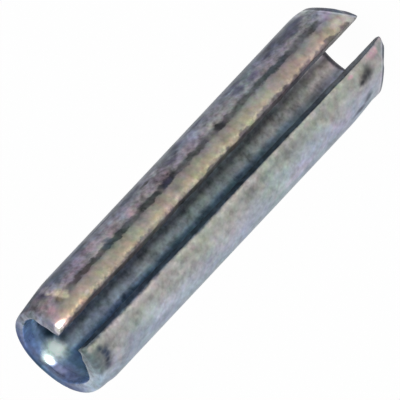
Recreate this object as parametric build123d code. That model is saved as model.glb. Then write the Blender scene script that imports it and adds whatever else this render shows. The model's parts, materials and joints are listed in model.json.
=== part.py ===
from build123d import *
import os
from math import asin, atan, cos, degrees, radians, sin, tan

# Slotted spring pin, 6 mm nominal by 26 mm. A strip of spring steel is rolled into a C, so the pin
# is one springy wall with a slot along its whole length, and each end is swaged to a lead-in taper.
# It stands on one end: the axis is Z, the slot faces -Y, and Z = 0 is the tip of the lowest lip.
# Right is +X and left is -X.

# Strip and roll, with the pin free, before it is driven into its hole
free_diameter = 6.45
wall = 0.85
face_length = 26.0  # from end face to end face, on the axis
upper_slot_gap = 1.74  # between the lips at the outside of the wall, at the upper end
lower_slot_gap = 1.92  # the roll closed a little less at the lower end
slot_lean = 0.2  # to the right, from the lower end up
right_lip_outer_round = 0.24  # shearing the strip rolled this edge over the most
left_lip_outer_round = 0.14
lip_inner_round = 0.09
upper_face_tilt = 1.05  # the upper end was cropped a little out of square

# Swaged lead-in tapers: how far the wall is drawn in at the face, and how long the taper is there.
# Each die met the pin a little askew, so a taper runs longer up one side than the other.
upper_taper_depth = 0.32
upper_taper_length = 1.70
upper_die_tilt = 4.3
upper_die_shift = 0.09
lower_taper_depth = 0.305
lower_taper_length = 1.775
lower_die_tilt = 5.35
lower_die_shift = -0.11

# Swaging pushes metal out past the end faces beside the slot, so that each lip ends in a low horn
upper_right_rise = 0.35
upper_left_rise = 0.14
upper_rise_from = 2.29  # across from the slot's middle, where the face begins to rise
upper_horn_at = 0.72  # across from the slot's middle, where it stops rising
lower_right_rise = 0.48
lower_right_rise_from = 2.865
lower_right_horn_at = 0.84
lower_left_rise = 0.64
lower_left_rise_from = 3.12
lower_left_horn_at = 0.37

# Where it was cropped, the lower end was also pinched to a flat bevel on each side of the slot
right_pinch_angle = 72.0  # around the pin, from the slot's middle to the bevel's middle
right_pinch_slope = 36.5  # between the bevel and the end face
right_pinch_foot = 2.505  # from the axis, where the bevel meets the end face
left_pinch_angle = 72.9
left_pinch_slope = 48.4
left_pinch_foot = 2.335

# The die's throat breaks the outer rim of each end, and tumbling breaks the rim of the bore
upper_rim_break = 0.06
lower_rim_break = 0.16
bore_rim_break = 0.17

outer_radius = free_diameter / 2
bore_radius = outer_radius - wall
lower_face = 0.56
upper_face = lower_face + face_length
clear_of_lips = 1.0  # past either end face, well clear of the horns
strip_length = clear_of_lips + upper_face + clear_of_lips  # left long, to be cut to shape
reach = free_diameter  # from the axis, well past the outside of the pin


def rolled_strip():
    """The strip rolled into a tube, less the wedge between its sheared edges, which are rounded."""
    ring = Circle(outer_radius) - Circle(bore_radius)
    lower_half_angle = asin(lower_slot_gap / 2 / outer_radius)
    mouth = reach * tan(lower_half_angle)
    wedge = make_face(Polyline((0, 0), (-mouth, -reach), (mouth, -reach), close=True))
    closing = (lower_slot_gap - upper_slot_gap) / 2 * cos(lower_half_angle)
    slot = extrude(wedge, amount=strip_length, taper=degrees(atan(closing / face_length)))
    strip = extrude(ring, amount=strip_length) - Rot(Y=slot_lean) * slot
    for side, outer_round in ((1, right_lip_outer_round), (-1, left_lip_outer_round)):
        for radius, edge_round in ((outer_radius, outer_round), (bore_radius, lip_inner_round)):
            corner = (side * radius * sin(lower_half_angle), -radius, strip_length / 2)
            long_edges = strip.edges().filter_by(lambda edge: edge.length > face_length)
            strip = fillet(long_edges.sort_by_distance(corner)[0], edge_round)
    return Pos(0, 0, -clear_of_lips) * strip


def end_shape():
    """What the ends are cut to: flat, but rising to a horn on each side of the slot."""
    skew = tan(radians(upper_face_tilt))
    below = [
        (reach, lower_face),
        (lower_right_rise_from, lower_face),
        (lower_right_horn_at, lower_face - lower_right_rise),
        (-lower_left_horn_at, lower_face - lower_left_rise),
        (-lower_left_rise_from, lower_face),
        (-reach, lower_face),
    ]
    above = [
        (-reach, upper_face - reach * skew),
        (-upper_rise_from, upper_face - upper_rise_from * skew),
        (-upper_horn_at, upper_face + upper_left_rise),
        (upper_horn_at, upper_face + upper_right_rise),
        (upper_rise_from, upper_face + upper_rise_from * skew),
        (reach, upper_face + reach * skew),
    ]
    with_horns = make_face(Polyline(*below, *above, close=True))
    flat = make_face(Polyline(below[0], below[-1], above[0], above[-1], close=True))
    return extrude(Plane.XZ * with_horns, amount=reach) + extrude(Plane.XZ * flat, amount=-reach)


def swaging_die(taper_depth, taper_length, rim_break):
    """The inside of a swaging die: its throat is at Z = 0, and the pin runs down from there."""
    slope = taper_depth / taper_length
    throat_radius = outer_radius - taper_depth
    half = Polyline(
        (0, clear_of_lips),
        (throat_radius - rim_break - clear_of_lips * slope, clear_of_lips),
        (throat_radius - rim_break, 0),
        (throat_radius + rim_break * slope, -rim_break),
        (reach, -(reach - throat_radius) / slope),
        (reach, -strip_length),
        (0, -strip_length),
        close=True,
    )
    return revolve(Plane.XZ * make_face(half), axis=Axis.Z)


def countersink():
    """What breaks the rim of the bore: its mouth is at Z = 0, and the bore runs down from there."""
    half = Polyline(
        (0, clear_of_lips),
        (bore_radius + bore_rim_break, clear_of_lips),
        (bore_radius + bore_rim_break, 0),
        (bore_radius, -bore_rim_break),
        (0, -bore_rim_break),
        close=True,
    )
    return revolve(Plane.XZ * make_face(half), axis=Axis.Z)


def pinch(angle, slope, foot):
    """What the pinch took off the lower end beside the slot, to the right where angle is positive."""
    bevel = Plane.XY.rotated((0, 180 - slope, 0))  # faces outwards and down
    pinched_off = extrude(bevel * Circle(reach), amount=reach)
    return Pos(0, 0, lower_face) * Rot(Z=angle - 90) * Pos(foot, 0, 0) * pinched_off


upper_end = Pos(0, 0, upper_face)
lower_end = Pos(0, 0, lower_face) * Rot(X=180)
upper_die = swaging_die(upper_taper_depth, upper_taper_length, upper_rim_break)
lower_die = swaging_die(lower_taper_depth, lower_taper_length, lower_rim_break)

spring_pin = rolled_strip() & end_shape()
spring_pin &= upper_end * Pos(X=upper_die_shift) * Rot(Y=upper_die_tilt) * upper_die
spring_pin &= lower_end * Pos(X=lower_die_shift) * Rot(Y=-lower_die_tilt) * lower_die
spring_pin -= upper_end * countersink()
spring_pin -= lower_end * countersink()
spring_pin -= pinch(right_pinch_angle, right_pinch_slope, right_pinch_foot)
spring_pin -= pinch(-left_pinch_angle, left_pinch_slope, left_pinch_foot)

os.makedirs("parts", exist_ok=True)
export_step(spring_pin, "parts/spring_pin.step")
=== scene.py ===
import json
from functools import reduce
from math import asin, cos, hypot, pi, radians, sin, tan
from operator import or_

import bmesh
import bpy
import numpy as np
from mathutils import Matrix, Vector


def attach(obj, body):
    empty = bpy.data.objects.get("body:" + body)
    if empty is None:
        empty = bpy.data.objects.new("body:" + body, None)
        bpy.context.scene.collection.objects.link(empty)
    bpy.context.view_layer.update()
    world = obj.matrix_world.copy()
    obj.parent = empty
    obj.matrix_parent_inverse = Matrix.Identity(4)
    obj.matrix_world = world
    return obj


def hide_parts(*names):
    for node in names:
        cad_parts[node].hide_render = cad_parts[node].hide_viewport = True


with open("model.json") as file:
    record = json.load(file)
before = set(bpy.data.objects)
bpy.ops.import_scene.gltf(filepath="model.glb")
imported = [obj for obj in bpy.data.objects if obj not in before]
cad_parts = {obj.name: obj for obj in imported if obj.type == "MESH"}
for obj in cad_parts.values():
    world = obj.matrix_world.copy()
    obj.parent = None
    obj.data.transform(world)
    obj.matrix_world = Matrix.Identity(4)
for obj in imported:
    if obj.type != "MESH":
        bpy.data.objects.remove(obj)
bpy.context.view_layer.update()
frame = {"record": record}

# ---- The pin: a strip of spring steel rolled into a C, its two sheared edges facing each other
# ---- across the slot. Swaging dies drew both ends in to tapers and pushed a horn up on each lip,
# ---- the lower end was pinched beside the slot, and thin plating went on last. Sizes are in mm.

mm = 0.001
mounts = {mount["name"]: mount["dims"] for mount in frame["record"]["mounts"]}
outer_radius = mounts["shank"]["r_mm"]
bore_radius = mounts["bore"]["r_mm"]
wall = outer_radius - bore_radius
face_length = 26.0
lower_face = 0.56
upper_face = lower_face + face_length
middle_height = (lower_face + upper_face) / 2

# The lips are radial, and the slot leans and is widest at the foot. Their sheared edges wander.
lip_angle = asin(0.96 / outer_radius)
slot_closing = 0.09 * cos(lip_angle) / face_length
slot_lean = tan(radians(0.2))
lip_roughness = 0.012
chance = np.random.default_rng(26)
lip_heights = np.arange(-1, 29, 0.45)
lip_wander = chance.normal(0, 1, (2, lip_heights.size))

# The horns beside the slot, left and right: where each one starts, where its tip is, and its rise.
upper_skew = tan(radians(1.05))
upper_horns = (2.29, 0.72, 0.14), (2.29, 0.72, 0.35)
lower_horns = (3.12, 0.37, 0.64), (2.865, 0.84, 0.48)

# Two swaging dies, which sat a little askew and left the shoulders fuller, and two pinching flats.
upper_die = {"shift": 0.09, "depth": 0.32, "length": 1.70, "tilt": radians(4.3), "rim_break": 0}
lower_die = {"shift": -0.11, "depth": 0.305, "length": 1.775, "tilt": radians(-5.35), "rim_break": 0.16}
upper_shoulder, lower_shoulders = 0.10, 0.08
upper_bore_break, lower_bore_break = 0.06, 0.17
right_flat = {"angle": radians(72.0), "slope": radians(36.5), "foot": 2.505}
left_flat = {"angle": radians(72.9), "slope": radians(48.4), "foot": 2.3885}

# The upper mouth is belled outwards at the back and on the right, and upset inwards by the lips.
back_bell, right_bell = 0.20, 0.10
left_upset, far_left_upset, right_upset = 0.34, 0.12, 0.22

# How far the edges are rounded off. The right lip's edge is rounder in places.
edge_softness, rim_softness, taper_lip_softness = 0.02, 0.06, 0.035
left_lip_softness, right_lip_softness, lip_softness_wander = 0.06, 0.10, 0.025
top_softness, top_fill = 0.09, 0.03


def soft_max(gaps, rounding):
    """The largest gap at each point, with the corner where two gaps are alike rounded off."""
    top = np.max(gaps, axis=0)
    return top + rounding * np.log(sum(np.exp((gap - top) / rounding) for gap in gaps))


def fade(value, none, full):
    """A smooth rise from nothing at one value to 1 at the other."""
    share = np.clip((value - none) / (full - none), 0, 1)
    return share * share * (3 - 2 * share)


def swell(value, none, full, still_full, none_again):
    """A smooth rise from nothing to 1, and back to nothing further on."""
    return fade(value, none, full) * fade(value, none_again, still_full)


def end_level(x, y, skew, horns):
    """How far the steel reaches past an end face: nothing at the back, a horn beside the slot."""
    (left_start, left_tip, left_rise), (right_start, right_tip, right_rise) = horns
    places = [-left_start, -left_tip, right_tip, right_start]
    rises = [-skew * left_start, left_rise, right_rise, skew * right_start]
    beside_slot = (x > -left_start) & (x < right_start) & (y < 0)
    return np.where(beside_slot, np.interp(x, places, rises), skew * x)


def die_gaps(x, y, up, shift, depth, length, tilt, rim_break):
    """Gaps past a swaging die's cone and past its throat. Up is the height over the end face."""
    aslant = (x - shift) * cos(tilt) - up * sin(tilt)
    along = (x - shift) * sin(tilt) + up * cos(tilt)
    slope = depth / length
    past_throat = np.hypot(aslant, y) - (outer_radius - depth)
    cone = (past_throat + slope * along) / hypot(1, slope)
    broken_rim = (past_throat + rim_break + (1 + slope) * along) / hypot(1, 1 + slope)
    horn = (past_throat + rim_break + slope * along) / hypot(1, slope)
    return cone, -soft_max([-broken_rim, -horn], rim_softness)


def pinch_gap(across, y, under, angle, slope, foot):
    """Gap past the flat that the cropping tool pinched on the lower end, to one side of the slot."""
    around = across * sin(angle) - y * cos(angle) - foot
    return around * sin(slope) + under * cos(slope)


def mouth_gap(x, y, depth):
    """Gap past the bore wall at a depth below the upper face. Turns are degrees from the slot."""
    turn = np.degrees(np.arctan2(x, -y))
    belled = back_bell * fade(abs(turn), 118, 158) * fade(depth, 0.95, 0.2)
    belled = belled + right_bell * swell(turn, 58, 74, 86, 104) * fade(depth, 0.8, 0.1)
    upset = left_upset * swell(turn, -84, -56, -36, -17)
    upset = upset + far_left_upset * swell(turn, -150, -105, -84, -56)
    upset = upset + right_upset * swell(turn, 14, 32, 50, 70)
    return bore_radius + belled - upset * fade(depth, 1.6, 0.1) - np.hypot(x, y)


def steel_gaps(x, y, z):
    """How far each point lies past the outside, the tapers, the lips, the bore and the ends."""
    radius = np.hypot(x, y)
    over, under = z - upper_face, lower_face - z
    past_top = over - end_level(x, y, upper_skew, upper_horns)
    past_foot = under - end_level(x, y, 0, lower_horns)

    right_waves, left_waves = (np.interp(z, lip_heights, side) for side in lip_wander)
    ragged = lip_roughness * np.where(x > 0, right_waves, left_waves) * swell(z, 1.0, 2.0, 25.2, 26.2)
    from_middle = abs(x - z * slot_lean)
    slot = ragged - from_middle * cos(lip_angle) - y * sin(lip_angle) - slot_closing * z

    upper_taper, upper_rim = die_gaps(x, y, over, **upper_die)
    lower_taper, lower_rim = die_gaps(x, y, under, **lower_die)
    upper_taper = upper_taper - upper_shoulder * fade(x, -0.3, -2.2) * fade(over, -1.2, -0.3)
    lower_taper = lower_taper - lower_shoulders * fade(abs(x), 1.0, 2.4) * fade(under, -1.6, -0.7)
    tapers = np.maximum(upper_taper, lower_taper)

    bore = mouth_gap(x, y, -past_top)
    upper_sink = (bore + upper_bore_break + past_top) / 2**0.5
    lower_sink = (bore_radius + lower_bore_break - radius + past_foot) / 2**0.5
    right_pinch = pinch_gap(x, y, under, **right_flat)
    left_pinch = pinch_gap(-x, y, under, **left_flat)
    rims = [past_top, past_foot, upper_rim, lower_rim, upper_sink, lower_sink]
    return radius - outer_radius, tapers, slot, bore, rims + [right_pinch, left_pinch]


def gap_outside(x, y, z):
    """How far a point lies outside the whole pin, negative inside the steel."""
    outside, tapers, slot, bore, ends = steel_gaps(x, y, z)
    waves = np.clip(np.interp(z, lip_heights + 0.2, lip_wander[1]), -1.5, 1.5)
    right_softness = right_lip_softness + lip_softness_wander * waves
    shank = soft_max([outside, slot], np.where(x > 0, right_softness, left_lip_softness))
    taper_lips = soft_max([tapers, slot], taper_lip_softness)
    rounded_top = soft_max([tapers, ends[0]], top_softness) - top_fill
    skin = soft_max([shank, taper_lips, bore, rounded_top], edge_softness)
    return soft_max([skin, soft_max(ends, edge_softness)], edge_softness)


def last_inside(depth, start, way, reach, halvings=26):
    """The furthest that each line from a point can go with steel at least that deep around it."""
    near, far = np.zeros_like(start[0]), np.full_like(start[0], reach)
    for _ in range(halvings):
        middle = (near + far) / 2
        inside = gap_outside(*(s + middle * w for s, w in zip(start, way))) < -depth
        near, far = np.where(inside, middle, near), np.where(inside, far, middle)
    return near


# The skin is found by going out from a sheet in the middle of the wall: straight outwards and
# inwards along its length, and in a fan of directions round each end and each lip. The sheet is
# drawn in a little at the tapers, as the wall is, and its rows crowd together at both ends.
wall_rows, rim_rows, wall_columns, lip_columns = 190, 27, 176, 13
crowding = 0.78
sheet_depth = 0.17
drawn_in, drawn_in_from, drawn_in_over = 0.15, 10.9, 1.5
middle_radius = outer_radius - wall / 2

first_turn = lip_angle + 0.5 * wall / middle_radius
turns = np.linspace(first_turn, 2 * pi - first_turn, wall_columns)
turns = np.pad(turns, lip_columns, mode="edge")
lip_leans = np.linspace(0, pi / 2, lip_columns + 1)[1:]
leans = np.concatenate([-lip_leans[::-1], np.zeros(wall_columns), lip_leans])

wall_levels = np.linspace(0, 1, wall_rows)
wall_levels = wall_levels - crowding * np.sin(2 * pi * wall_levels) / (2 * pi)
at_foot, at_top = np.zeros(rim_rows - 1), np.ones(rim_rows - 1)
levels = np.concatenate([wall_levels, at_top, wall_levels[::-1], at_foot])
outwards = np.zeros(wall_rows)
fan = np.linspace(0, pi, rim_rows + 1)[1:-1]
swings = np.concatenate([outwards, fan, outwards + pi, fan + pi])

middle_line = [
    (middle_radius - drawn_in) * np.sin(turns),
    (drawn_in - middle_radius) * np.cos(turns),
    np.full_like(turns, middle_height),
]
past_the_end = face_length / 2 + 1
sheet_top = middle_height + last_inside(sheet_depth, middle_line, [0, 0, 1], past_the_end)
sheet_foot = middle_height - last_inside(sheet_depth, middle_line, [0, 0, -1], past_the_end)

sheet_turn, sheet_level = np.meshgrid(turns, levels, indexing="ij")
lean, swing = np.meshgrid(leans, swings, indexing="ij")
sheet_height = sheet_foot[:, None] + sheet_level * (sheet_top - sheet_foot)[:, None]
at_tapers = np.clip((abs(sheet_height - middle_height) - drawn_in_from) / drawn_in_over, 0, 1)
sheet_radius = middle_radius - drawn_in * at_tapers
out_x, out_y = np.sin(sheet_turn), -np.cos(sheet_turn)
start = [sheet_radius * out_x, sheet_radius * out_y, sheet_height]
way = [
    np.cos(lean) * np.cos(swing) * out_x + np.sin(lean) * np.cos(sheet_turn),
    np.cos(lean) * np.cos(swing) * out_y + np.sin(lean) * np.sin(sheet_turn),
    np.cos(lean) * np.sin(swing),
]
distance = last_inside(0, start, way, reach=1.5)
points = np.stack([s + distance * w for s, w in zip(start, way)], axis=-1)

number = np.arange(sheet_turn.size).reshape(sheet_turn.shape)
beside = np.roll(number, -1, axis=1)
quads = np.stack([number[:-1], number[1:], beside[1:], beside[:-1]], axis=-1).reshape(-1, 4)
mesh = bpy.data.meshes.new("pin_body")
mesh.from_pydata((points.reshape(-1, 3) * mm).tolist(), [], quads.tolist())
shell = bmesh.new()
shell.from_mesh(mesh)
bmesh.ops.remove_doubles(shell, verts=shell.verts, dist=0.0001 * mm)
bmesh.ops.recalc_face_normals(shell, faces=shell.faces)
for face in shell.faces:
    face.smooth = True
shell.to_mesh(mesh)
shell.free()

pin = bpy.data.objects.new("pin_body", mesh)
bpy.context.collection.objects.link(pin)
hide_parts("spring_pin")
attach(pin, "root")

# How deep each bit of skin lies under the tools that cut it, for the finish: nothing on the face
# that the tool left, and more with the distance from it.
skin = np.empty(3 * len(mesh.vertices))
mesh.vertices.foreach_get("co", skin)
_, _, slot, _, ends = steel_gaps(*(skin.reshape(-1, 3).T / mm))
depths = {"from_lip": -slot, "from_top": -ends[0], "from_pinch": -np.max(ends[6:], axis=0)}
for name, depth in depths.items():
    mesh.attributes.new(name, "FLOAT", "POINT").data.foreach_set("value", depth.astype(np.float32))


# The plating is thin and uneven: a cool grey on the left and mauve round the right side, with a
# dark broken line, stains, and pale edges. Part of its colour is painted light and shade.
class Tone:
    """A socket in a finish. Arithmetic on tones adds the nodes that work it out."""

    tree = None

    def __init__(self, socket):
        self.socket = socket

    @classmethod
    def node(cls, kind, sockets, output=0, stops=None, **settings):
        """Adds any node: its settings or ramp stops first, then what its sockets hold or link to."""
        node = cls.tree.nodes.new(kind)
        for name, value in settings.items():
            setattr(node, name, value)
        if stops:
            ramp = node.color_ramp.elements
            ramp.remove(ramp[1])
            for position, colour in stops[1:]:
                ramp.new(position).color = colour
            ramp[0].position, ramp[0].color = stops[0]
        for name, value in sockets.items():
            if isinstance(value, Tone):
                cls.tree.links.new(value.socket, node.inputs[name])
            else:
                node.inputs[name].default_value = value
        return cls(node.outputs[output])

    def maths(self, operation, first, second):
        return self.node("ShaderNodeMath", {0: first, 1: second}, operation=operation)

    def __add__(self, other):
        return self.maths("ADD", self, other)

    def __radd__(self, other):
        return self.maths("ADD", other, self)

    def __sub__(self, other):
        return self.maths("SUBTRACT", self, other)

    def __rsub__(self, other):
        return self.maths("SUBTRACT", other, self)

    def __mul__(self, other):
        return self.maths("MULTIPLY", self, other)

    def __rmul__(self, other):
        return self.maths("MULTIPLY", other, self)

    def __truediv__(self, other):
        return self.maths("DIVIDE", self, other)

    def __or__(self, other):
        return self.maths("MAXIMUM", self, other)

    def rise(self, none, full):
        """0 where the tone is at the first value, smoothly up to 1 where it is at the second."""
        if none < full:
            ends = {"From Min": none, "From Max": full}
        else:
            ends = {"From Min": full, "From Max": none, "To Min": 1.0, "To Max": 0.0}
        return self.node("ShaderNodeMapRange", {"Value": self, **ends}, interpolation_type="SMOOTHSTEP")

    def paint(self, colour, mask):
        """This colour with another laid over it where the mask is 1."""
        over = colour if isinstance(colour, Tone) else (*colour, 1)
        return self.node("ShaderNodeMix", {0: mask, 6: self, 7: over}, output=2, data_type="RGBA")

    def times(self, other):
        """This colour or vector times another, one number for each of its three."""
        return self.node("ShaderNodeVectorMath", {0: self, 1: other}, operation="MULTIPLY")

    def scaled(self, factor):
        """This colour or vector times one tone."""
        return self.node("ShaderNodeVectorMath", {0: self, "Scale": factor}, operation="SCALE")


steel = bpy.data.materials.new("plated_spring_steel")
steel.use_nodes = True
Tone.tree = steel.node_tree
place = Tone.node("ShaderNodeTexCoord", {}, output=3).scaled(1 / mm)
east, north, height = (Tone.node("ShaderNodeSeparateXYZ", {0: place}, output=axis) for axis in range(3))
smeared = Tone.node("ShaderNodeCombineXYZ", {0: east, 1: 0.45 * north, 2: height + 0.49 * north})


def cloud(size, seed, detail=2.0, output=0, where=place):
    """Soft patches of about that size in mm."""
    sockets = {"Vector": where, "W": seed, "Scale": 0.5 / size, "Detail": detail, "Roughness": 0.55}
    return Tone.node("ShaderNodeTexNoise", sockets, output=output, noise_dimensions="4D")


def depth_under(name):
    """How deep the skin lies under a tool's face, in mm."""
    return Tone.node("ShaderNodeAttribute", {}, output=2, attribute_name=name)


def sweep(tone, low, high, shades):
    """A colour that changes with a tone: shades are (value of the tone, colour), lowest first."""
    stops = [((value - low) / (high - low), (*shade, 1)) for value, shade in shades]
    return Tone.node("ShaderNodeValToRGB", {0: (tone - low) / (high - low)}, stops=stops)


# Turns are degrees from the slot, to the right, and heights are mm over the floor.
degrees_each_mm = 180 / pi / outer_radius
turn = Tone.node("ShaderNodeMath", {0: east, 1: 0 - north}, operation="ARCTAN2") * (180 / pi)
from_front = Tone.node("ShaderNodeMath", {0: turn}, operation="ABSOLUTE")
from_lip, from_top, from_pinch = (depth_under(name) for name in depths)
radius = Tone.node("ShaderNodeVectorMath", {0: place.times((1.0, 1.0, 0.0))}, output=1, operation="LENGTH")
outer_skin = radius.rise(bore_radius + 0.12, bore_radius + 0.30)
inside = 1 - outer_skin
on_right = turn.rise(-8, 8)
on_left = 1 - on_right
upper = height.rise(20, 22)

wander = cloud(0.7, 3.0, where=smeared) - 0.5
# Round the pin the colour is partly the plating's tint and partly painted light and shade: a painted warm
# highlight beside the slot on the right, a lighter grey on the left where the light falls, and painted
# shade round the right side, darkest towards its outline.
colour = sweep(turn + 10 * wander, -180, 180, [
    (-180, (0.24, 0.25, 0.27)),
    (-110, (0.24, 0.26, 0.30)),
    (-75, (0.215, 0.265, 0.33)),
    (-68, (0.27, 0.33, 0.40)),
    (-62, (0.36, 0.41, 0.50)),
    (-50, (0.41, 0.43, 0.50)),
    (-36, (0.385, 0.40, 0.385)),
    (-27, (0.32, 0.33, 0.305)),
    (-20, (0.40, 0.40, 0.37)),
    (17, (0.33, 0.29, 0.235)),
    (22, (0.385, 0.335, 0.27)),
    (27, (0.315, 0.285, 0.23)),
    (32, (0.285, 0.26, 0.225)),
    (36, (0.24, 0.23, 0.215)),
    (40, (0.15, 0.15, 0.155)),
    (46, (0.16, 0.16, 0.175)),
    (49, (0.255, 0.24, 0.265)),
    (60, (0.225, 0.22, 0.275)),
    (69, (0.14, 0.155, 0.22)),
    (78, (0.075, 0.095, 0.14)),
    (92, (0.07, 0.085, 0.12)),
    (115, (0.17, 0.18, 0.21)),
    (180, (0.24, 0.25, 0.27)),
])

# Stains are laid on two sheets of mm coordinates, with uneven edges: the outside of the pin
# unrolled, and the bore as it is seen through the slot.
wobble = 0.32 * (cloud(0.2, 8.0) - 0.5)
lengthways = height + 0.45 * (cloud(0.25, 12.0) - 0.5)
unrolled = Tone.node("ShaderNodeCombineXYZ", {0: turn / degrees_each_mm + wobble, 1: lengthways, 2: 0.0})
across_bore = Tone.node("ShaderNodeCombineXYZ", {0: east + 0.5 * wobble, 1: height + wobble, 2: 0.0})


def patch(sheet, sideways, level, half_width, half_length, soft=0.6):
    """A stain on a sheet, at that place, of that size and with edges that soft."""
    near = sheet.times((1 / half_width, 1 / half_length, 0))
    centre = (sideways / half_width, level / half_length, 0)
    away = Tone.node("ShaderNodeVectorMath", {0: near, 1: centre}, output=1, operation="DISTANCE")
    return away.rise(1 + soft, 1 - soft)


def stains(places):
    """Stains on the outside, as (turn, height, half width, half length, softness)."""
    masks = [patch(unrolled, angle / degrees_each_mm, *rest) for angle, *rest in places]
    return reduce(or_, masks) * outer_skin


# Round the ends: mauve on the right of the upper taper, grey-green on its left, lilac lower horns.
mauve = stains([(50, 25.9, 0.9, 0.8), (62, 25.7, 0.8, 0.7), (36, 26.3, 0.35, 0.5)])
colour = colour.paint((0.26, 0.22, 0.245), mauve * 0.85)
colour = colour.paint((0.27, 0.30, 0.31), stains([(-38, 26.0, 0.8, 0.6)]) * 0.6)
lower_right = height.rise(2.9, 1.8) * turn.rise(28, 42)
colour = colour.paint((0.36, 0.34, 0.42), lower_right * 0.75)
right_horn = height.rise(2.5, 0.8) * on_right * turn.rise(34, 24)
colour = colour.paint((0.50, 0.42, 0.44), right_horn * 0.7)
colour = colour.paint((0.38, 0.36, 0.39), height.rise(2.6, 1.4) * on_left * 0.6)

# A line along the right side, dark but broken, with darker specks.
broken = sweep(height, 0, 28, [(level, (strength,) * 3) for level, strength in [
    (1.8, 0.0), (2.0, 0.8), (3.1, 0.8), (3.4, 0.4), (4.4, 0.35), (4.8, 0.9), (7.3, 0.95), (7.7, 0.6),
    (10.1, 0.6), (10.5, 1.0), (11.0, 1.0), (11.3, 0.15), (11.8, 0.15), (12.1, 0.85), (13.4, 0.9),
    (13.8, 0.5), (14.6, 0.6), (15.1, 1.0), (15.9, 1.0), (16.15, 0.3), (16.4, 0.95), (17.8, 0.95),
    (18.1, 0.5), (18.9, 0.5), (19.4, 0.9), (20.9, 1.0), (21.5, 0.7), (21.9, 0.9), (23.8, 0.9),
    (24.3, 0.0),
]])
off_line = turn - 42.6 + 12 * (cloud(0.22, 21.0) - 0.5) + 3 * wander
dark_line = (off_line * off_line).rise(22, 3) * broken * outer_skin
dark_line_colour = sweep(height + 3 * (cloud(0.5, 23.0) - 0.5), 0, 28, [
    (3, (0.045, 0.05, 0.055)),
    (6, (0.03, 0.05, 0.06)),
    (9, (0.07, 0.075, 0.07)),
    (10.8, (0.035, 0.03, 0.05)),
    (13, (0.05, 0.055, 0.06)),
    (15.5, (0.02, 0.03, 0.055)),
    (17, (0.035, 0.045, 0.05)),
    (20.7, (0.025, 0.045, 0.055)),
    (22.5, (0.05, 0.045, 0.045)),
])
dark_line_specks = dark_line * cloud(0.25, 87.0).rise(0.45, 0.62)
colour = colour.paint(dark_line_colour.scaled(0.8), dark_line * 0.92)

# The right side is blotched navy, most of all low down, and that fades out towards the back.
short_of_back = turn.rise(150, 95)
blotch = cloud(0.4, 83.0, where=smeared).rise(0.46, 0.57) * turn.rise(54, 68) * short_of_back
haze = turn.rise(52, 64) * height.rise(8, 4) * short_of_back
navy = blotch * (0.45 + 0.4 * height.rise(9, 4)) | haze * 0.45
colour = colour.paint((0.045, 0.06, 0.095), navy * outer_skin * height.rise(1.7, 2.6))

# Dark stains: indigo and teal, most of them round the right side, a hooked one by the upper left
# horn with painted greenish shade above it, soot low on the left, and a mist and smudges.
indigo = stains([
    (60, 13.95, 0.24, 0.45), (66, 13.4, 0.22, 0.3), (74, 12.9, 0.3, 0.5), (66, 25.35, 0.45, 0.3),
    (68, 2.35, 0.35, 0.45), (44, 15.45, 0.2, 0.4), (72, 8.0, 0.22, 0.7), (64, 5.2, 0.16, 0.4),
    (58, 3.2, 0.25, 0.5), (75, 11.2, 0.15, 0.8), (77, 19.5, 0.12, 0.9), (73, 16.6, 0.2, 0.5),
    (74, 4.4, 0.3, 0.7), (60, 8.1, 0.35, 0.5), (57, 6.9, 0.3, 0.5), (64, 3.3, 0.5, 0.45),
    (66, 2.8, 0.5, 0.5),
])
colour = colour.paint((0.035, 0.035, 0.085), indigo * 0.72)
teal = stains([
    (43, 20.8, 0.3, 0.3), (48, 20.6, 0.3, 0.25), (71, 23.8, 0.6, 0.72), (60, 24.15, 0.3, 0.25),
    (72, 17.5, 0.24, 0.5), (75, 21.6, 0.16, 0.6), (-60, 2.7, 0.26, 0.35, 0.9), (-66, 3.5, 0.2, 0.5, 0.9),
])
hooked = stains([
    (-27, 25.9, 0.2, 0.26, 0.9), (-32, 25.72, 0.28, 0.28, 0.9), (-37, 25.66, 0.28, 0.3, 0.9),
    (-43, 25.68, 0.26, 0.26, 0.9), (-49, 25.78, 0.24, 0.22, 0.9),
])
colour = colour.paint((0.035, 0.05, 0.08), teal * 0.8 | hooked)
# Painted greenish shade over the top of the taper beside the upper left horn.
greenish_shade = stains([(-29, 26.25, 0.3, 0.3), (-37, 26.2, 0.4, 0.26), (-46, 26.1, 0.4, 0.22)])
colour = colour.paint((0.11, 0.15, 0.15), greenish_shade * 0.55)
soot = stains([
    (-33.5, 2.2, 0.38, 0.42, 0.9), (-34.5, 2.5, 0.3, 0.4, 0.9), (-36, 2.8, 0.22, 0.36, 0.9),
    (43, 10.8, 0.22, 0.3), (66, 16.0, 0.12, 0.35),
])
colour = colour.paint((0.018, 0.02, 0.028), soot * 0.94)
mist = stains([
    (-57, 23.8, 0.4, 1.5), (-62, 21.4, 0.3, 1.2), (-52, 25.6, 0.3, 0.5), (-47, 23.2, 0.5, 1.2),
])
colour = colour.paint((0.17, 0.19, 0.25), mist * 0.5)
smudges = stains([
    (-28, 14.3, 0.14, 0.17), (-27, 12.4, 0.14, 0.2), (-29, 11.4, 0.15, 0.25), (-30.5, 9.4, 0.2, 0.25),
    (-27, 8.7, 0.16, 0.2), (-28, 21.5, 0.2, 0.22), (-25, 18.6, 0.14, 0.18), (-39, 19.65, 0.22, 0.5),
    (-44, 18.45, 0.2, 0.24), (-41, 18.2, 0.2, 0.24), (-38, 17.95, 0.2, 0.24), (-36, 23.0, 0.2, 0.3),
    (31, 15.6, 0.3, 0.4), (25, 25.2, 0.5, 0.6), (25, 23.3, 0.4, 0.6),
])
colour = colour.paint((0.14, 0.135, 0.14), smudges * 0.4)
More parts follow.
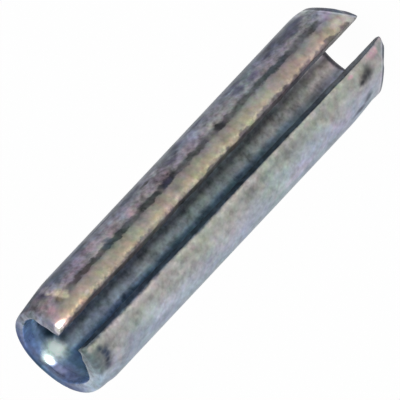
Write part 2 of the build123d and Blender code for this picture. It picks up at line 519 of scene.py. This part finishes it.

# Pale places: a painted highlight along the crease of the upper taper, partly burnished, with a brown
# line over it; lilac, milky, rosy and amber spots; and pale spots, mostly painted highlights.
# A painted highlight along the crease where the upper taper starts, partly burnished.
crease_highlight = stains([(50, 24.95, 0.42, 0.26), (42, 24.85, 0.28, 0.24), (58, 25.08, 0.32, 0.18)])
colour = colour.paint((0.20, 0.17, 0.11), stains([(43, 25.25, 0.3, 0.14)]) * 0.6)
colour = colour.paint((0.56, 0.53, 0.42), crease_highlight * 0.85)
lilac = stains([
    (71, 24.87, 0.4, 0.22), (62, 24.97, 0.35, 0.18), (-52, 25.0, 0.5, 0.14), (-60, 9, 0.3, 2.5),
])
colour = colour.paint((0.42, 0.39, 0.45), lilac * 0.6)
# Pale spots: those on the upper corner of the left lip and on the lower right horn are painted highlights.
pale_spots_and_glints = stains([
    (-34, 18.95, 0.17, 0.2), (-19, 26.45, 0.22, 0.25), (24, 24.05, 0.12, 0.2),
    (24, 0.7, 0.35, 0.5), (27, 1.5, 0.3, 0.4),
])
colour = colour.paint((0.58, 0.54, 0.50), pale_spots_and_glints * 0.6)
milky = stains([(68, 15.2, 0.3, 0.35), (-45, 10.5, 0.5, 2.0), (-40, 22, 0.5, 0.7)])
colour = colour.paint((0.40, 0.45, 0.47), milky * 0.5)
rosy = stains([
    (41.6, 26.1, 0.25, 0.25), (50, 18.2, 0.35, 0.4), (60, 21.3, 0.4, 0.6), (26, 3.9, 0.2, 0.3),
    (-22, 7.2, 0.12, 0.3), (-24, 17.6, 0.12, 0.25),
])
colour = colour.paint((0.50, 0.30, 0.36), rosy * 0.22)
blush = stains([(-22.6, 1.24, 0.26, 0.42), (-21.5, 3.3, 0.13, 0.2)])
colour = colour.paint((0.68, 0.36, 0.46), blush * 0.55)
amber = stains([
    (26, 14.8, 0.22, 0.45), (24, 11.5, 0.16, 0.4), (25, 8.1, 0.16, 0.45), (24, 17.6, 0.15, 0.5),
])
colour = colour.paint((0.50, 0.37, 0.24), amber * 0.3)

# The edges of the lips are pale in specks, on the right lip a painted warm highlight along its edge,
# and their sheared faces are dark, with a ragged margin that is more ragged on the right.
speckle = cloud(0.16, 31.0, where=smeared).rise(0.44, 0.6)
lip_edge_specks = from_lip.rise(0.44, 0.24) * from_lip.rise(0.04, 0.14) * outer_skin
colour = colour.paint((0.60, 0.58, 0.54), lip_edge_specks * speckle * on_left * 0.4)
# On the right lip the specks are a painted warm highlight.
colour = colour.paint((0.58, 0.50, 0.38), lip_edge_specks * speckle * on_right * 0.6)
ragged = 0.7 * (cloud(0.28, 37.0) - 0.5) + 0.5 * (cloud(0.7, 39.0) - 0.5)
left_margin = (0.02 + 0.11 * height.rise(22, 4)) * on_left
right_margin = (0.03 * height.rise(6, 3) - 0.3 * height.rise(1.1, 0.6)) * on_right
jagged = from_lip + ragged * (0.3 + 0.9 * on_right) + left_margin - right_margin
sheared = jagged.rise(0.24, 0.04) * from_lip.rise(0.42, 0.28) | from_lip.rise(0.06, 0.02) * on_left
sheared_colour = sweep(turn, -20, 20, [(-8, (0.05, 0.075, 0.105)), (8, (0.15, 0.13, 0.13))])
sheared_colour = sheared_colour.paint((0.012, 0.02, 0.035), speckle * on_left * 0.7)
colour = colour.paint(sheared_colour, sheared)

# The cut ring at the top: lilac in front, steel blue on the left, dark teal at the back, and its
# outer edge beside the left horn rough and painted dark, a painted shade.
ring = sweep(turn + 14 * wander, -180, 180, [
    (-180, (0.055, 0.11, 0.18)),
    (-165, (0.09, 0.15, 0.26)),
    (-138, (0.11, 0.145, 0.25)),
    (-116, (0.22, 0.27, 0.38)),
    (-98, (0.38, 0.46, 0.54)),
    (-65, (0.32, 0.40, 0.48)),
    (-30, (0.16, 0.23, 0.27)),
    (10, (0.22, 0.23, 0.26)),
    (40, (0.23, 0.22, 0.27)),
    (70, (0.30, 0.31, 0.38)),
    (100, (0.22, 0.26, 0.36)),
    (125, (0.15, 0.19, 0.31)),
    (150, (0.11, 0.16, 0.29)),
    (165, (0.09, 0.15, 0.26)),
    (180, (0.055, 0.11, 0.18)),
])
colour = colour.paint(ring, from_top.rise(0.30, 0.03) * upper)
shaded_rough_edge = stains([
    (-18, 26.62, 0.3, 0.22, 0.9), (-26, 26.56, 0.35, 0.22, 0.9), (-34, 26.49, 0.35, 0.22, 0.9),
    (-42, 26.42, 0.35, 0.22, 0.9), (-50, 26.35, 0.35, 0.2, 0.9),
])
# Painted shade on the ring's outer edge beside the left horn.
colour = colour.paint((0.12, 0.15, 0.15), shaded_rough_edge * 0.7)

# The tip of the right horn is painted nearly white, a painted highlight, and is smooth.
highlit_smooth_tip = stains([(21, 26.6, 0.28, 0.5)])
colour = colour.paint((0.82, 0.75, 0.64), highlit_smooth_tip * 0.75)

# The bore is a bluer grey, darker on the right, warm at its lower end and blue in the mouth. Across
# its back wall and in its mouth it carries painted shade, painted reflected light and painted highlights.
inner = sweep(height + 2 * (cloud(0.6, 71.0) - 0.5), 0, 28, [
    (0.5, (0.50, 0.42, 0.42)),
    (3.5, (0.42, 0.42, 0.40)),
    (8, (0.37, 0.41, 0.40)),
    (14, (0.36, 0.40, 0.42)),
    (20, (0.34, 0.39, 0.45)),
    (25, (0.30, 0.38, 0.48)),
])
# Painted shade and painted reflected light across the back wall: darkest just right of the middle, lighter
# towards both lips.
shade = sweep(east + 0.3 * (cloud(0.3, 73.0) - 0.5), -1, 1, [
    (-0.80, (0.65, 0.85, 1.05)),
    (-0.68, (1.0, 1.2, 1.4)),
    (-0.56, (1.3, 1.38, 1.45)),
    (-0.44, (1.2, 1.2, 1.2)),
    (-0.27, (0.88, 0.88, 0.88)),
    (-0.1, (0.62, 0.62, 0.62)),
    (0.05, (0.43, 0.43, 0.43)),
    (0.22, (0.33, 0.33, 0.36)),
    (0.4, (0.52, 0.53, 0.58)),
    (0.56, (1.5, 1.5, 1.6)),
])
inner = inner.times(shade)
inner = inner.paint((0.13, 0.12, 0.13), patch(across_bore, -0.72, 2.2, 0.3, 2.6) * 0.7)
mouth = height.rise(24.3, 25.2)
inner = inner.paint((0.15, 0.25, 0.36), mouth)
inner = inner.paint((0.28, 0.42, 0.60), height.rise(25.2, 25.5))
inner = inner.paint((0.12, 0.19, 0.36), height.rise(25.6, 26.0))
# A painted pool of pale green light in the mouth, and a painted highlight at its back.
painted_light_pool = patch(across_bore, 0.08, 25.32, 0.62, 0.55)
inner = inner.paint((0.92, 1.0, 0.95), painted_light_pool)
painted_mouth_highlight = patch(across_bore, 0.04, 25.97, 0.42, 0.24)
inner = inner.paint((0.80, 0.92, 0.92), painted_mouth_highlight)
# Painted shade under the right front rim of the mouth, and a painted lighter fill on its left wall.
inner = inner.paint((0.06, 0.09, 0.15), patch(across_bore, 1.35, 25.0, 0.6, 0.35) * 0.7)
inner = inner.paint((0.015, 0.04, 0.06), patch(across_bore, 1.0, 24.85, 0.3, 0.34))
inner = inner.paint((0.25, 0.25, 0.40), patch(across_bore, -1.2, 25.95, 0.75, 0.42) * 0.7)
lip_face = from_lip.rise(0.12, 0.04)
colour = inner.paint(colour, outer_skin | lip_face | from_top.rise(0.05, 0.02) * upper)

# The pinched flats are slate, with a pale line along their edges, and the foot of the bore is painted
# dark, a painted shade.
outlined = from_pinch + 0.05 * wander + 0.04 - 0.11 * on_right
colour = colour.paint((0.50, 0.49, 0.56), outlined.rise(0.30, 0.22) * outer_skin * 0.7)
colour = colour.paint((0.07, 0.085, 0.12), outlined.rise(0.20, 0.13) * 0.9)
# Painted shade at the foot of the bore, where the pin stands on the floor.
foot_shade_height = height + 0.4 * (cloud(0.25, 79.0) - 0.5)
foot_shade = foot_shade_height.rise(lower_face + 0.42, lower_face + 0.25) * inside
colour = colour.paint((0.05, 0.05, 0.06), foot_shade * 0.85)

# Mottling of the whole plating in lightness and in hue. It is strongest round the right side, in
# the bore and on the sheared lips.
mottle = 0.5 * (cloud(1.6, 41.0) - 0.5) + 0.9 * (cloud(0.30, 43.0, where=smeared) - 0.5)
mottle = mottle + 0.7 * (cloud(0.13, 47.0) - 0.5)
in_front = from_front.rise(150, 90)
mottling = 1 + 1.2 * turn.rise(38, 46) * in_front + 0.1 * turn.rise(-10, -20) * in_front
mottling = mottling + 0.9 * inside + 1.6 * sheared
hue = cloud(0.21, 53.0, output=1).times(cloud(1.0, 57.0, output=1, where=smeared))
hue = Tone.node("ShaderNodeVectorMath", {0: hue, 1: (1.0,) * 3, 2: (0.75,) * 3}, operation="MULTIPLY_ADD")
colour = colour.paint(colour.times(hue), 0.6 + 0.4 * turn.rise(-12, 6) * short_of_back)
colour = colour.scaled(1 + mottle * mottling)
colour = colour.scaled(1 - 0.45 * dark_line_specks)

# Stains and cut edges are less metallic, stains are rougher, and the highlit tip is smooth.
stained = dark_line | indigo | teal | hooked | soot
roughness = 0.36 + 0.3 * (cloud(0.4, 59.0, where=smeared) - 0.5) + 0.14 * stained
roughness = roughness + 0.2 * height.rise(24.5, 25.2) * on_right
roughness = roughness + 0.35 * from_front.rise(100, 125) * from_top.rise(0.35, 0.25)
roughness = roughness + 0.4 * shaded_rough_edge
roughness = roughness * (1 - 0.75 * highlit_smooth_tip) * (1 - 0.5 * height.rise(25.6, 25.9) * inside)
metallic = 0.92 - 0.25 * stained - 0.6 * sheared - 0.5 * inside * mouth
drawing_lines = {"Vector": place.times((1.0, 1.0, 0.03)), "Scale": 7.0, "Detail": 3.0}
relief = 0.4 * Tone.node("ShaderNodeTexNoise", drawing_lines) - 0.4 * dark_line
relief = relief + 0.7 * cloud(0.3, 61.0) + 0.3 * cloud(0.1, 67.0)
relief = relief * (1 - 0.8 * highlit_smooth_tip)
normal = Tone.node("ShaderNodeBump", {"Strength": 0.5, "Distance": 0.03 * mm, "Height": relief})

finish = {"Base Color": colour, "Roughness": roughness, "Metallic": metallic, "Normal": normal}
for name, tone in finish.items():
    steel.node_tree.links.new(tone.socket, steel.node_tree.nodes["Principled BSDF"].inputs[name])
mesh.materials.append(steel)

# ---- The floor: matt white paper, far wider than the pin. It glows a little for the camera and
# ---- in the steel, so that the pin stands on white, and it keeps the pin's soft shadow.
reach = 600 * mm
corners = [(-reach, -reach, 0), (reach, -reach, 0), (reach, reach, 0), (-reach, reach, 0)]
paper_sheet = bpy.data.meshes.new("floor")
paper_sheet.from_pydata(corners, [], [(0, 1, 2, 3)])
floor = bpy.data.objects.new("floor", paper_sheet)
bpy.context.collection.objects.link(floor)


def on_rays(*kinds):
    """One tone for each kind of ray: 1 where the light is on a ray of that kind."""
    return [Tone.node("ShaderNodeLightPath", {}, output=f"Is {kind} Ray") for kind in kinds]


paper = bpy.data.materials.new("white_paper")
paper.use_nodes = True
Tone.tree = paper.node_tree
matt = paper.node_tree.nodes["Principled BSDF"]
matt.inputs["Base Color"].default_value = (0.9, 0.9, 0.9, 1)
matt.inputs["Roughness"].default_value = 0.9
matt.inputs["Specular IOR Level"].default_value = 0
seen, mirrored, through = on_rays("Camera", "Glossy", "Transmission")
glow = Tone.node("ShaderNodeEmission", {"Strength": 1.0})
glowing = 0.975 * (seen | through) | 0.75 * mirrored
lit = Tone.node("ShaderNodeMixShader", {0: glowing, 1: Tone(matt.outputs[0]), 2: glow})
paper.node_tree.links.new(lit.socket, paper.node_tree.nodes["Material Output"].inputs["Surface"])
paper_sheet.materials.append(paper)

# ---- The studio: an even white room that is dimmer than its backdrop looks, and three soft lamps,
# ---- a warm one low on the right, a cool one on the left and a small one in front of the mouth.
room_light = 0.62
world = bpy.data.worlds.new("studio")
world.use_nodes = True
Tone.tree = world.node_tree
backdrop_seen, backdrop_mirrored = on_rays("Camera", "Glossy")
strength = room_light + (1 - room_light) * (backdrop_seen | backdrop_mirrored)
background = world.node_tree.nodes["Background"].inputs
background["Color"].default_value = (0.97, 0.98, 1.0, 1)
world.node_tree.links.new(strength.socket, background["Strength"])
bpy.context.scene.world = world


def hang_lamp(name, azimuth, elevation, away, wide, high, watts, tint):
    """An oblong soft lamp that looks at the upper end of the pin from that side and height."""
    toward = Vector((sin(radians(azimuth)), -cos(radians(azimuth)), tan(radians(elevation)))).normalized()
    light = bpy.data.lights.new(name, "AREA")
    light.shape, light.size, light.size_y = "RECTANGLE", wide * mm, high * mm
    light.energy, light.color = watts, tint
    lamp = bpy.data.objects.new(name, light)
    lamp.location = (Vector((0, 0, upper_face)) + toward * away) * mm
    lamp.rotation_euler = toward.to_track_quat("Z", "Y").to_euler()
    lamp.visible_camera = False
    bpy.context.collection.objects.link(lamp)


hang_lamp(
    "warm_lamp", azimuth=40, elevation=-2, away=160,
    wide=50, high=30, watts=0.055, tint=(1.0, 0.90, 0.76),
)
hang_lamp(
    "mouth_lamp", azimuth=4, elevation=18, away=200,
    wide=66, high=46, watts=0.12, tint=(0.95, 1.0, 1.0),
)
hang_lamp(
    "cool_lamp", azimuth=-90, elevation=25, away=220,
    wide=150, high=150, watts=0.10, tint=(0.90, 0.95, 1.0),
)

# ---- The camera: level across the slot, looking down on the pin, and rolled until the pin lies
# ---- from corner to corner of the square frame. It has no perspective.
elevation, azimuth, roll = radians(26.14), radians(3.556), radians(136.813)
frame_pixels, pixels_each_mm = 400, 18.146
aimed_height, camera_distance = 13.575, 200
pixels_right, pixels_up = 1.948, 0.951
toward = Vector((sin(azimuth) * cos(elevation), -cos(azimuth) * cos(elevation), sin(elevation)))
across = Vector((cos(azimuth), sin(azimuth), 0))
upward = toward.cross(across)
frame_x = across * cos(roll) - upward * sin(roll)
frame_y = across * sin(roll) + upward * cos(roll)
off_centre = (frame_x * pixels_right + frame_y * pixels_up) / pixels_each_mm
aim = Vector((0, 0, aimed_height)) - off_centre
lens = bpy.data.cameras.new("camera")
lens.type = "ORTHO"
lens.ortho_scale = frame_pixels / pixels_each_mm * mm
lens.clip_start = 1 * mm
camera = bpy.data.objects.new("camera", lens)
stand = Matrix((frame_x, frame_y, toward)).transposed().to_4x4()
stand.translation = (aim + toward * camera_distance) * mm
camera.matrix_world = stand
bpy.context.collection.objects.link(camera)
bpy.context.scene.camera = camera
bpy.context.scene.view_settings.view_transform = "Standard"
